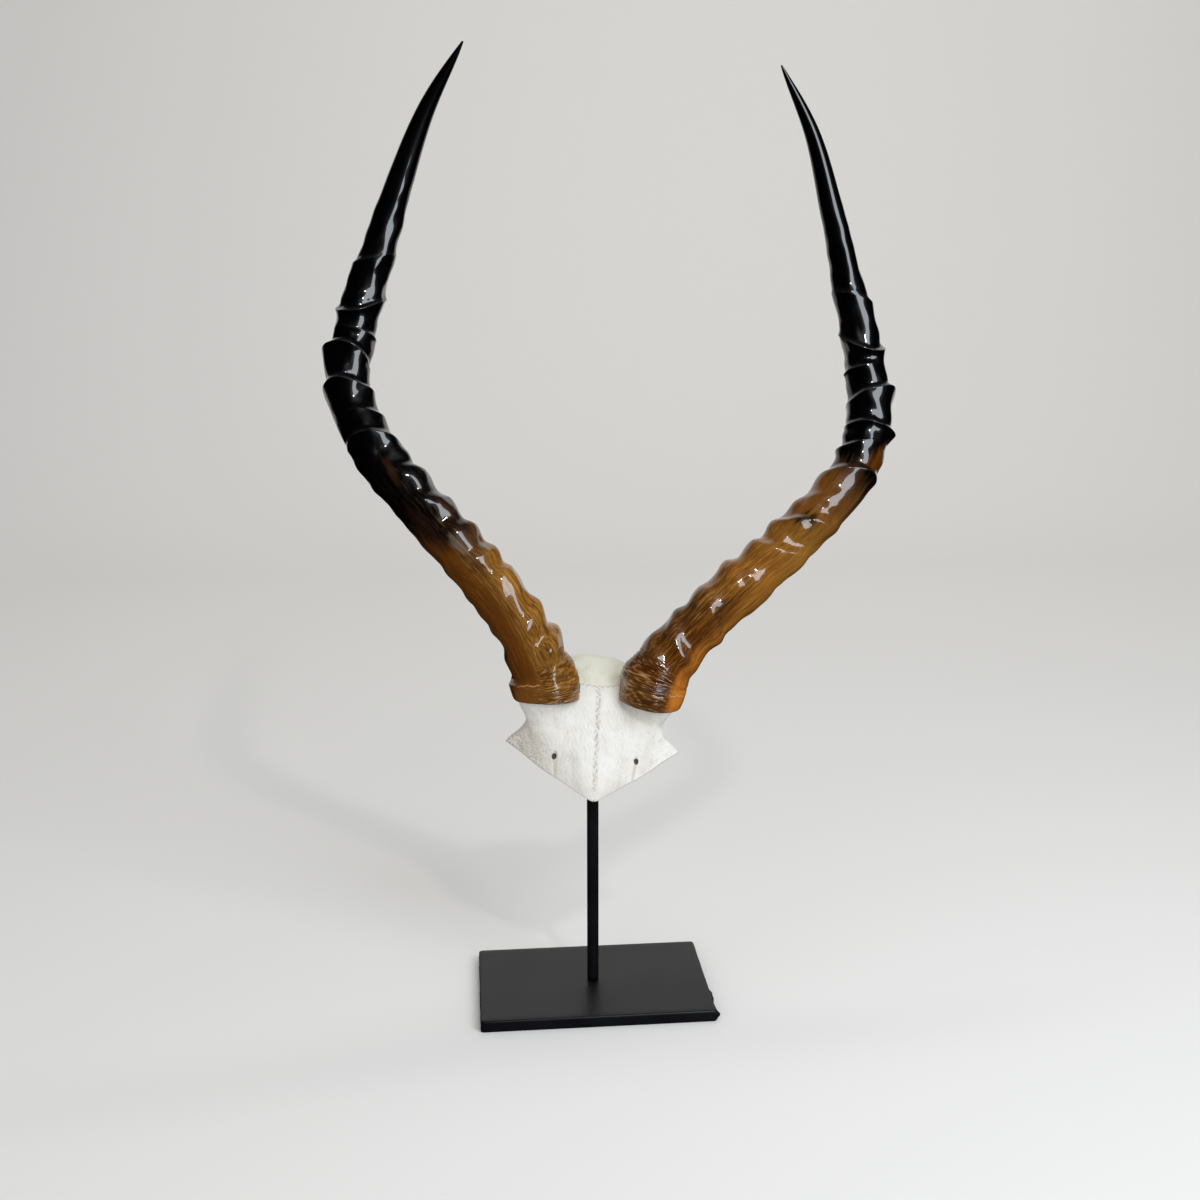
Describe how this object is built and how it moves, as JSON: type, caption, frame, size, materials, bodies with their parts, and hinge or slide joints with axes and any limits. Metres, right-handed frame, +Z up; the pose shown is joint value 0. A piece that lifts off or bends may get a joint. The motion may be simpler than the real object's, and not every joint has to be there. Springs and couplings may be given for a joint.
{
  "type": "impala horns on a stand",
  "caption": "Ringed, lyre-shaped antelope horns on a sawn white skull cap, held upright for display by a thin black rod on a rectangular base plate.",
  "frame": {"origin": "centre of the base plate's underside", "axes": "+Z up along the rod; the brow of the skull faces -Y; +X is to the right as one faces the brow"},
  "size_m": [0.4032, 0.1747, 0.6485],
  "materials": {
    "black_steel": "satin black",
    "bone": "bleached, matte",
    "horn": "lacquered, golden brown to black"
  },
  "bodies": {
    "root": {"base_plate": "black_steel", "stand_rod": "black_steel", "skull_cap": "bone", "horn_left": "horn", "horn_right": "horn"}
  },
  "joints": []
}
